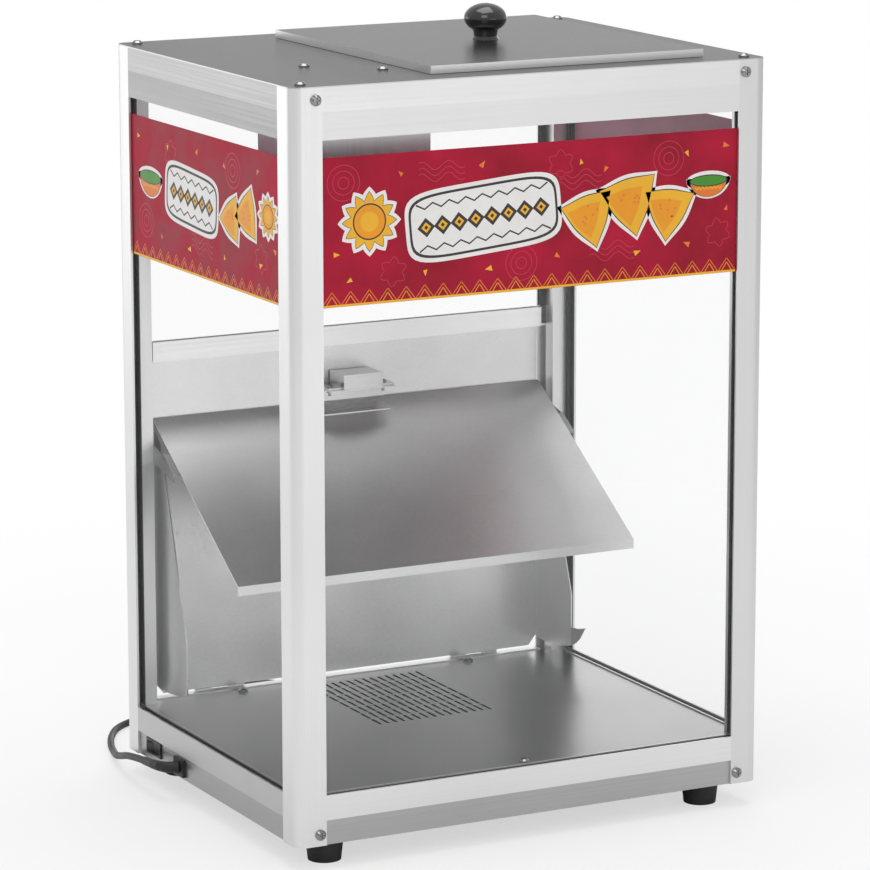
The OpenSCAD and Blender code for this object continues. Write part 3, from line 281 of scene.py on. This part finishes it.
def clear_pane(name, tint, alpha):
    """Thin clear sheet: a faint tint and a sharp reflection over what is behind it."""
    m, shader, tree = new_material(name)
    faint = grain(tree, (1, 1, 1), 4, 2.0)
    tree.links.new(tinted(tree, faint, tint, (1, 1, 1)), shader.inputs["Base Color"])
    shader.inputs["Roughness"].default_value = 0.02
    shader.inputs["Alpha"].default_value = alpha
    shader.inputs["Specular IOR Level"].default_value = 0.6
    return m


# %% The cabinet's finishes
ALONG_X, ALONG_Y, ALONG_Z = (3, 700, 700), (700, 3, 700), (700, 700, 3)
MOTTLED = (260, 700, 700)
finish = {
    "post": metal("anodised_post", 0.82, 0.36, ALONG_Z, vary=0.015, metallic=0.85),
    # Painted shade: the front right post wears a darker copy of the posts' finish, as if shaded.
    "post_painted_shade": metal("anodised_post_right", 0.74, 0.36, ALONG_Z, vary=0.015, metallic=0.85),
    "rail_x": metal("anodised_rail_x", 0.82, 0.38, ALONG_X, vary=0.02, metallic=0.85),
    # Painted shade: the side base rails, side top bands and side glazing rails below are darker
    # copies of the front rails' finish, which is the lit one.
    "rail_side_painted_shade": metal("anodised_rail_y", 0.58, 0.38, ALONG_Y, vary=0.02, metallic=0.85),
    "band_side_painted_shade": metal("anodised_band_y", 0.50, 0.38, ALONG_Y, vary=0.02, metallic=0.85),
    "glazing_x": metal("glazing_rail_x", 0.80, 0.42, ALONG_X, vary=0.02, metallic=0.85),
    "glazing_side_painted_shade": metal("glazing_rail_y", 0.43, 0.42, ALONG_Y, vary=0.02, metallic=0.85),
    "bright": metal("bright_rail", 0.98, 0.40, ALONG_X, vary=0.01, metallic=0.90),
    "skirt": metal("skirt_sheet", 0.47, 0.36, (3, 3, 900), vary=0.025),
    # Painted light: the top and lid are dark on their flat faces and a lighter grey on their
    # upright faces, as if lit there.
    "top": painted_light_by_facing(metal("top_sheet", 0.165, 0.32, MOTTLED, vary=0.006, scratch=0.000001,
                              blotch=0.06, uneven=0.01), 0.62),
    "lid": painted_light_by_facing(metal("lid_sheet", 0.160, 0.29, MOTTLED, vary=0.005, scratch=0.000001,
                              blotch=0.06, uneven=0.01), 0.74),
    "floor": metal("floor_sheet", 0.39, 0.29, MOTTLED, vary=0.015, scratch=0.000001,
                   blotch=0.14, uneven=0.012),
    "deflector": metal("deflector_sheet", 0.80, 0.37, MOTTLED, vary=0.035, scratch=0.00001,
                       blotch=0.14),
    "door": metal("door_sheet", 0.86, 0.33, MOTTLED, vary=0.035, metallic=0.95,
                  scratch=0.00001, blotch=0.18),
    "bracket": metal("bracket_sheet", 0.70, 0.30, ALONG_X, vary=0.03),
    # Painted shade: the deflector brackets get a darker grey than the other brackets, so that
    # they don't look lit.
    "painted_shade_bracket": metal("dull_sheet", 0.34, 0.42, ALONG_X, vary=0.03),
    "shade": metal("shade_sheet", 0.74, 0.34, ALONG_Z, vary=0.03),
    "catch": metal("catch_shell", 0.66, 0.20, ALONG_X, vary=0.07),
    "screw": metal("plated_screw", 0.32, 0.18, (60, 60, 60), vary=0.05),
    "pin": metal("steel_pin", 0.60, 0.24, ALONG_X, vary=0.04),
    "magnet": metal("ferrite", 0.10, 0.55, (90, 90, 90), vary=0.02, metallic=0.3),
    "sheath": metal("heater_sheath", 0.20, 0.50, ALONG_X, vary=0.05, metallic=0.8),
    "fan_metal": metal("fan_paint", 0.05, 0.45, (120, 120, 120), vary=0.015, metallic=0.2),
    "gasket": moulded("gasket_rubber", (0.012, 0.012, 0.013), (0.03, 0.03, 0.032), 0.55),
    "knob": moulded("black_phenolic", (0.008, 0.008, 0.009), (0.016, 0.016, 0.018), 0.16,
                    size=500, specular=0.55, coat=0.6, depth=0.00001),
    "foot": moulded("foot_rubber", (0.010, 0.010, 0.010), (0.022, 0.022, 0.022), 0.62,
                    size=1200),
    "ceramic": moulded("glazed_ceramic", (0.76, 0.73, 0.66), (0.86, 0.84, 0.78), 0.22,
                       size=300),
    "bulb": moulded("frosted_bulb", (0.84, 0.82, 0.76), (0.94, 0.92, 0.86), 0.30, size=700),
    "black": moulded("switch_plastic", (0.010, 0.010, 0.011), (0.02, 0.02, 0.022), 0.30,
                     size=1400),
    "cord": moulded("cord_sheath", (0.009, 0.009, 0.010), (0.018, 0.018, 0.020), 0.42,
                    size=1100),
    "glass": clear_pane("clear_glass", (0.86, 0.93, 0.92), alpha=0.03),
}
WEARS = {
    "post": ["post_front_left", "post_rear_left", "post_rear_right"],
    "post_painted_shade": ["post_front_right"],
    "rail_x": ["top_rail_front", "top_rail_rear", "base_rail_front", "base_rail_rear"],
    "rail_side_painted_shade": ["base_rails_side"], "band_side_painted_shade": ["top_rails_side"], "bright": ["mid_rail_rear"],
    "glazing_x": ["glazing_rail_front", "glazing_rail_rear"], "glazing_side_painted_shade": ["glazing_rails_side"],
    "skirt": ["base_pan"], "top": ["top_plate"], "lid": ["lid"], "floor": ["floor_plate"],
    "deflector": ["deflector_plate"], "door": ["rear_door"],
    "bracket": ["catch_bracket", "strike_plate", "hinge_fixed_leaves", "hinge_door_leaves",
                "heater_brackets"],
    "painted_shade_bracket": ["deflector_brackets"],
    "shade": ["lamp_shade"], "pin": ["hinge_pins"], "magnet": ["catch_magnet"],
    "screw": ["frame_screws", "base_screws", "catch_fasteners", "lid_knob_screw",
              "door_knob_screw"],
    "sheath": ["heater_element"], "fan_metal": ["fan_housing"], "gasket": ["gaskets"],
    "knob": ["lid_knob", "door_knob"], "foot": ["feet"], "catch": ["catch_body"],
    "ceramic": ["lamp_holder", "terminal_block"], "bulb": ["lamp_bulb"],
    "black": ["switch_housing", "switch_rocker", "thermal_cutout", "fan_impeller"],
    "cord": ["cable_gland", "mains_plug"],
    "glass": ["glass_front", "glass_left", "glass_right", "glass_rear"],
}
for look, nodes in WEARS.items():
    for node in nodes:
        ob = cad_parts[node]
        ob.data.materials.clear()
        ob.data.materials.append(finish[look])
lead.data.materials.append(finish["cord"])
print(len(finish), "finishes on", sum(len(n) for n in WEARS.values()), "nodes")

# %% [markdown]
# ## The printed banners
# The film is crimson and a little mottled; its inner side shows the print faded to pink.
# On it lie thin flat shapes: chips, a sun, a bowl, a plate with a frieze, confetti and a
# double zigzag along the lower edge.

# %% Film
def film(name, axis, sign, middle):
    """Crimson outside, pink inside: the sides are told apart by the place along the axis."""
    m, shader, tree = new_material(name)
    clouds = spread(tree, grain(tree, (1, 1, 1), 22, 4.0), 0.0, 1.0)
    outside = tinted(tree, clouds, (0.29, 0.004, 0.020), (0.47, 0.008, 0.040))
    inside = tinted(tree, clouds, (0.52, 0.16, 0.26), (0.66, 0.24, 0.34))
    coord = add(tree, "ShaderNodeTexCoord")
    split = add(tree, "ShaderNodeSeparateXYZ")
    tree.links.new(coord.outputs["Object"], split.inputs["Vector"])
    side = add(tree, "ShaderNodeMath", operation="GREATER_THAN" if sign > 0 else "LESS_THAN")
    side.inputs[1].default_value = middle
    tree.links.new(split.outputs["XYZ"[axis]], side.inputs[0])
    mix = add(tree, "ShaderNodeMix", data_type="RGBA")
    tree.links.new(side.outputs[0], mix.inputs["Factor"])
    tree.links.new(inside, mix.inputs["A"])
    tree.links.new(outside, mix.inputs["B"])
    tree.links.new(mix.outputs["Result"], shader.inputs["Base Color"])
    tree.links.new(spread(tree, clouds, 0.40, 0.52), shader.inputs["Roughness"])
    shader.inputs["Specular IOR Level"].default_value = 0.2
    return m


def ink(name, colour):
    """Printed colour with a slight unevenness: from 0.93 of the colour to the colour."""
    return moulded(name, tuple(c * 0.93 for c in colour), colour, 0.38, size=1500, specular=0.4)


INKS = [ink("ink_white", (0.86, 0.84, 0.82)), ink("ink_charcoal", (0.035, 0.030, 0.034)),
        ink("ink_orange", (0.80, 0.20, 0.02)), ink("ink_yellow", (0.88, 0.46, 0.02)),
        ink("ink_gold", (0.86, 0.33, 0.01)), ink("ink_green", (0.06, 0.28, 0.02)),
        ink("ink_ghost", (0.52, 0.02, 0.065))]
WHITE, CHARCOAL, ORANGE, YELLOW, GOLD, GREEN, GHOST = range(7)


# %% [markdown]
# Each shape is star-shaped, so it is a fan round its middle: a radius for every angle gives
# its outline. A stroke is a strip of quads along a line.

# %% Flat shapes
def chip_radius(a, r, corner=0.24):
    """Rounded triangle: the distance to a triangle's side, softened towards the corners."""
    k = np.cos((a + math.pi / 2) % (2 * math.pi / 3) - math.pi / 3)
    return r * ((1 - corner) * 0.5 / k + corner * 0.72)


def star_radius(a, r, rays, depth):
    """Circle whose radius swings by depth, once for each ray."""
    swing = np.abs(((a * rays / math.pi) % 2) - 1)
    return r * (1 - depth + depth * swing)


def fan(centre, radii, turn, squash=1.0):
    """Points round the centre, one for each radius, turned by an angle."""
    a = np.linspace(0, 2 * math.pi, len(radii), endpoint=False)
    x, y = radii * np.cos(a), radii * np.sin(a) * squash
    c, s = math.cos(turn), math.sin(turn)
    return np.stack([centre[0] + c * x - s * y, centre[1] + s * x + c * y], -1)


class Sheet:
    """Collects flat shapes on a plane as (u, v, layer) points, faces and ink numbers."""

    def __init__(self):
        self.points, self.faces, self.inks = [], [], []

    def shape(self, outline, ink_number, layer):
        """Adds a closed star-shaped outline as a fan of triangles round its middle."""
        base = sum(len(p) for p in self.points)
        n = len(outline)
        pts = np.vstack([outline.mean(axis=0), outline])
        self.points.append(np.column_stack([pts, np.full(n + 1, layer)]))
        k = np.arange(n)
        tris = np.column_stack([np.full(n, base), base + 1 + k, base + 1 + (k + 1) % n])
        self.faces += tris.tolist()
        self.inks += [ink_number] * n

    def stroke(self, line, width, ink_number, layer, closed=False):
        """Adds a strip of the given width along a line."""
        p = np.asarray(line, float)
        if closed:
            p = np.vstack([p, p[:1]])
        d = np.gradient(p, axis=0)
        d /= np.linalg.norm(d, axis=1)[:, None]
        side = np.column_stack([-d[:, 1], d[:, 0]]) * width / 2
        base = sum(len(q) for q in self.points)
        both = np.vstack([p + side, p - side])
        self.points.append(np.column_stack([both, np.full(len(both), layer)]))
        n = len(p)
        k = np.arange(n - 1)
        quads = np.column_stack([base + k, base + k + n, base + k + n + 1, base + k + 1])
        self.faces += quads.tolist()
        self.inks += [ink_number] * (n - 1)

    def build(self, name, place):
        """Turns the sheet into an object; place maps (u, v, layer) arrays to x, y, z."""
        uvw = np.vstack(self.points)
        mesh = bpy.data.meshes.new(name)
        mesh.from_pydata(place(uvw), [], self.faces)
        for m in INKS:
            mesh.materials.append(m)
        mesh.polygons.foreach_set("material_index", self.inks)
        mesh.update()
        ob = bpy.data.objects.new(name, mesh)
        bpy.context.collection.objects.link(ob)
        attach(ob, "cabinet")
        return ob


def chip(sheet, centre, r, turn):
    """A tortilla chip: white edge, dark line, golden face and toasted specks."""
    a = np.linspace(0, 2 * math.pi, 60, endpoint=False)
    for grow, ink_number, layer in ((4.2, WHITE, 1), (0.9, CHARCOAL, 2), (0, YELLOW, 3)):
        sheet.shape(fan(centre, chip_radius(a, r) + grow, turn), ink_number, layer)
    sheet.shape(fan((centre[0] - r * 0.10, centre[1] - r * 0.06), chip_radius(a, r * 0.66), turn),
                GOLD, 4)
    specks = np.random.default_rng(int(r * 10 + centre[0])).uniform(-0.3, 0.3, (7, 2)) * r
    for s in specks:
        sheet.shape(fan((centre[0] + s[0], centre[1] + s[1]), np.full(10, r * 0.035), 0),
                    ORANGE, 5)


def sun(sheet, centre, r):
    """A sun disc with rays, white-edged."""
    a = np.linspace(0, 2 * math.pi, 144, endpoint=False)
    sheet.shape(fan(centre, star_radius(a, r + 4.5, 12, 0.20), 0), WHITE, 1)
    sheet.shape(fan(centre, star_radius(a, r + 0.8, 12, 0.30), 0), CHARCOAL, 2)
    sheet.shape(fan(centre, star_radius(a, r, 12, 0.31), 0), YELLOW, 3)
    sheet.shape(fan(centre, np.full(48, r * 0.62), 0), CHARCOAL, 4)
    sheet.shape(fan(centre, np.full(48, r * 0.57), 0), GOLD, 5)
    sheet.shape(fan(centre, np.full(48, r * 0.34), 0), YELLOW, 6)


def bowl(sheet, centre, r):
    """A dip bowl seen from the side: half a disc under a green, flat ellipse."""
    a = np.linspace(math.pi, 2 * math.pi, 40)
    for grow, ink_number, layer in ((4.2, WHITE, 1), (0.9, CHARCOAL, 2), (0, ORANGE, 3)):
        half = np.column_stack([centre[0] + (r + grow) * np.cos(a),
                                centre[1] + grow * 0.6 + (r * 0.78 + grow) * np.sin(a)])
        sheet.shape(half, ink_number, layer)
    for grow, ink_number, layer in ((4.2, WHITE, 1), (0.9, CHARCOAL, 3.5), (0, GREEN, 4)):
        sheet.shape(fan(centre, np.full(60, r + grow), 0, (r * 0.24 + grow) / (r + grow)),
                    ink_number, layer)
    zig = [(centre[0] + x * r, centre[1] - r * (0.42 if i % 2 else 0.30))
           for i, x in enumerate(np.linspace(-0.74, 0.74, 15))]
    sheet.stroke(zig, 1.3, YELLOW, 4)


def frieze(sheet, centre, w, h, tilt):
    """A tilted white plate with a dark rim: a row of diamonds between two zigzag lines."""
    a = np.linspace(0, 2 * math.pi, 120, endpoint=False)

    def plate(grow):
        ca, sa = np.abs(np.cos(a)) / (w / 2 + grow), np.abs(np.sin(a)) / (h / 2 + grow)
        return fan(centre, (ca ** 5 + sa ** 5) ** -0.2, tilt)

    for grow, ink_number, layer in ((3.5, WHITE, 1), (0, CHARCOAL, 2), (-2.2, WHITE, 3)):
        sheet.shape(plate(grow), ink_number, layer)
    c, s = math.cos(tilt), math.sin(tilt)
    count = int(w // 17)
    step = (w - 16) / count

    def placed(x, y):
        return np.column_stack([centre[0] + c * x - s * y, centre[1] + s * x + c * y])

    for k in range(count):
        at = placed(np.array([(k - count / 2 + 0.5) * step]), np.array([0.0]))[0]
        for size, ink_number, layer in ((8.4, CHARCOAL, 4), (4.6, YELLOW, 5), (2.0, CHARCOAL, 6)):
            sheet.shape(fan(at, np.full(4, size), tilt), ink_number, layer)
    x = (np.arange(2 * count + 1) / 2 - count / 2) * step
    for side in (-1, 1):
        y = side * (h * 0.36 - 4.5 * (np.arange(len(x)) % 2))
        sheet.stroke(placed(x, y), 1.5, CHARCOAL, 4)


def border(sheet, width, period=17.0, height=10.5):
    """Yellow line along the lower edge and two rows of open triangles above it."""
    sheet.stroke([(0.2, 1.1), (width / 2, 1.1), (width - 0.2, 1.1)], 1.9, YELLOW, 3)
    count = int(width // period)
    pitch = width / count
    for k in range(count):
        for half, top, ink_number in ((pitch * 0.47, height, ORANGE),
                                      (pitch * 0.27, height * 0.66, GOLD)):
            m = (k + 0.5) * pitch
            for s in (-1, 1):
                sheet.stroke([(m + s * half, 2.2), (m, 2.2 + top)], 0.75, ink_number, 2)


def confetti(sheet, spots):
    """Small triangles, orange and yellow by turns, each at its own angle."""
    for k, (u, v) in enumerate(spots):
        r = 4.6 + 0.8 * math.sin(5 * k)
        tri = fan((u, v), np.array([r, r * 0.62, r * 0.5]), 2.4 * k)
        sheet.shape(tri, ORANGE if k % 2 else YELLOW, 2)


def ghosts(sheet, spots):
    """Faint rings and wavy lines in a red just lighter than the film."""
    a = np.linspace(0, 2 * math.pi, 49)[:-1]
    for k, (u, v) in enumerate(spots):
        if k % 3 == 0:
            for r in (5, 10, 15):
                sheet.stroke(fan((u, v), np.full(48, float(r)), 0), 0.8, GHOST, 0.5, True)
        elif k % 3 == 1:
            sheet.stroke(fan((u, v), star_radius(a, 13, 6, 0.35), 0.4 * k), 0.8, GHOST, 0.5, True)
        else:
            x = np.linspace(-22, 22, 40)
            for d in (-5, 0, 5):
                sheet.stroke(np.column_stack([u + x, v + d + 3.5 * np.sin(x / 4)]), 0.8,
                             GHOST, 0.5)


# %% [markdown]
# The front print runs from the sun over a frieze and a fan of chips to a bowl. The sides are
# shorter and run the other way.

# %% Lay the prints out
def front_print():
    """Shapes of the front banner, in millimetres from its lower left corner."""
    s = Sheet()
    border(s, 400)
    ghosts(s, [(20, 104), (66, 26), (112, 108), (188, 24), (226, 106), (276, 28), (332, 104),
               (382, 36), (244, 92)])
    confetti(s, [(12, 44), (74, 108), (96, 24), (150, 110), (158, 22), (222, 28), (246, 106),
                 (270, 100), (300, 24), (352, 28), (350, 108), (390, 56), (26, 22), (388, 112)])
    sun(s, (44, 70), 25)
    frieze(s, (152, 66), 142, 56, 0.09)
    for u, v, r, turn in ((254, 60, 31, 0.25), (294, 70, 34, 2.3), (332, 60, 30, 4.1)):
        chip(s, (u, v), r, turn)
    bowl(s, (372, 82), 18)
    return s


def side_print():
    """Shapes of a side banner."""
    s = Sheet()
    border(s, 308)
    ghosts(s, [(30, 34), (84, 100), (150, 28), (214, 102), (270, 34)])
    confetti(s, [(14, 108), (64, 24), (78, 106), (140, 108), (124, 22), (196, 104), (196, 24),
                 (264, 108), (268, 28), (298, 44)])
    bowl(s, (40, 74), 22)
    frieze(s, (128, 66), 106, 48, -0.07)
    for u, v, r, turn in ((210, 60, 25, 0.6), (242, 68, 27, 2.8)):
        chip(s, (u, v), r, turn)
    sun(s, (284, 72), 17)
    return s


LIFT = 0.00002
box_f, box_l, box_r = (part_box("banner_" + n) for n in ("front", "left", "right"))


def on_front(p):
    """u along +X, v up, layers towards -Y."""
    return np.column_stack([box_f[0][0] + p[:, 0] * MM, box_f[0][1] - LIFT * (1 + p[:, 2]),
                            box_f[0][2] + p[:, 1] * MM])


def on_left(p):
    """u along -Y, so that it reads from outside, layers towards -X."""
    return np.column_stack([box_l[0][0] - LIFT * (1 + p[:, 2]), box_l[1][1] - p[:, 0] * MM,
                            box_l[0][2] + p[:, 1] * MM])


def on_right(p):
    """u along +Y, layers towards +X."""
    return np.column_stack([box_r[1][0] + LIFT * (1 + p[:, 2]), box_r[0][1] + p[:, 0] * MM,
                            box_r[0][2] + p[:, 1] * MM])


prints = [front_print().build("print_front", on_front),
          side_print().build("print_left", on_left),
          side_print().build("print_right", on_right)]
for side, axis, sign in (("front", 1, -1), ("left", 0, -1), ("right", 0, 1)):
    lo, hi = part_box("banner_" + side)
    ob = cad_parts["banner_" + side]
    ob.data.materials.clear()
    ob.data.materials.append(film("film_" + side, axis, sign, (lo[axis] + hi[axis]) / 2))
print("print pieces", [len(o.data.polygons) for o in prints])

# %% [markdown]
# ## Stage and light
# White paper-like floor and surroundings; soft lamps give the metal its gradients.

# %% Stage
def stage_floor():
    """White to the camera, with the shadow, fading to plain white far out; pale grey to light."""
    bpy.ops.mesh.primitive_plane_add(size=30)
    ob = bpy.context.object
    ob.name = "stage_floor"
    m = bpy.data.materials.new("stage_white")
    m.use_nodes = True
    tree = m.node_tree
    tree.nodes.clear()
    out = tree.nodes.new("ShaderNodeOutputMaterial")
    coord = tree.nodes.new("ShaderNodeTexCoord")
    length = tree.nodes.new("ShaderNodeVectorMath")
    length.operation = "LENGTH"
    tree.links.new(coord.outputs["Object"], length.inputs[0])
    far = tree.nodes.new("ShaderNodeMapRange")
    far.interpolation_type = "SMOOTHSTEP"
    for name, v in (("From Min", 0.4), ("From Max", 1.3), ("To Min", 0.6), ("To Max", 1.0)):
        far.inputs[name].default_value = v
    tree.links.new(length.outputs["Value"], far.inputs["Value"])
    paper = add(tree, "ShaderNodeBsdfDiffuse", Color=(0.94, 0.94, 0.94, 1))
    glow = add(tree, "ShaderNodeEmission", Color=(1, 1, 1, 1), Strength=1.0)
    table = add(tree, "ShaderNodeBsdfDiffuse", Color=(0.90, 0.90, 0.90, 1))
    seen, both = (tree.nodes.new("ShaderNodeMixShader") for _ in range(2))
    path = tree.nodes.new("ShaderNodeLightPath")
    tree.links.new(far.outputs["Result"], seen.inputs["Fac"])
    tree.links.new(paper.outputs["BSDF"], seen.inputs[1])
    tree.links.new(glow.outputs["Emission"], seen.inputs[2])
    tree.links.new(path.outputs["Is Camera Ray"], both.inputs["Fac"])
    tree.links.new(table.outputs["BSDF"], both.inputs[1])
    tree.links.new(seen.outputs["Shader"], both.inputs[2])
    tree.links.new(both.outputs["Shader"], out.inputs["Surface"])
    ob.data.materials.append(m)
    ob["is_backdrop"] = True


def area_lamp(name, place, aim, size, level):
    """Soft rectangular lamp; its surface has the given radiance: power = pi area level."""
    data = bpy.data.lights.new(name, "AREA")
    data.shape = "RECTANGLE"
    data.size, data.size_y = size
    data.energy = math.pi * size[0] * size[1] * level
    ob = bpy.data.objects.new(name, data)
    bpy.context.collection.objects.link(ob)
    ob.location = place
    ob.rotation_euler = (Vector(aim) - Vector(place)).to_track_quat("-Z", "Y").to_euler()
    ob.visible_camera = False


def white_world(level):
    """World that lights at the given level but looks white to camera and transmission rays."""
    world = bpy.data.worlds.new("studio")
    bpy.context.scene.world = world
    world.use_nodes = True
    tree = world.node_tree
    back = tree.nodes["Background"]
    path = tree.nodes.new("ShaderNodeLightPath")
    seen = tree.nodes.new("ShaderNodeMath")
    seen.operation = "MAXIMUM"
    tree.links.new(path.outputs["Is Camera Ray"], seen.inputs[0])
    tree.links.new(path.outputs["Is Transmission Ray"], seen.inputs[1])
    strength = tree.nodes.new("ShaderNodeMix")
    strength.inputs["A"].default_value = level
    strength.inputs["B"].default_value = 1.0
    tree.links.new(seen.outputs[0], strength.inputs["Factor"])
    tree.links.new(strength.outputs["Result"], back.inputs["Strength"])
    back.inputs["Color"].default_value = (1, 1, 1, 1)


stage_floor()
white_world(0.65)
# name, place, aim, size and radiance
area_lamp("key", (-1.5, -2.3, 2.3), (0, 0, 0.3), (1.6, 1.4), 1.9)
area_lamp("top", (0, 0, 3.0), (0, 0, 0), (2.0, 2.0), 2.4)
area_lamp("front", (0.75, -2.5, 0.45), (0, 0, 0.3), (1.5, 0.9), 0.6)
area_lamp("rear", (1.6, 2.4, 0.50), (0, 0, 0.2), (1.5, 0.7), 1.5)
area_lamp("side", (-1.7, 2.4, 0.45), (0, 0, 0.3), (1.4, 0.9), 1.1)
bpy.context.scene.view_settings.view_transform = "Standard"

# %% Sizes
lo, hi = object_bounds()
print("visual box", [round(x, 4) for x in lo], [round(x, 4) for x in hi])
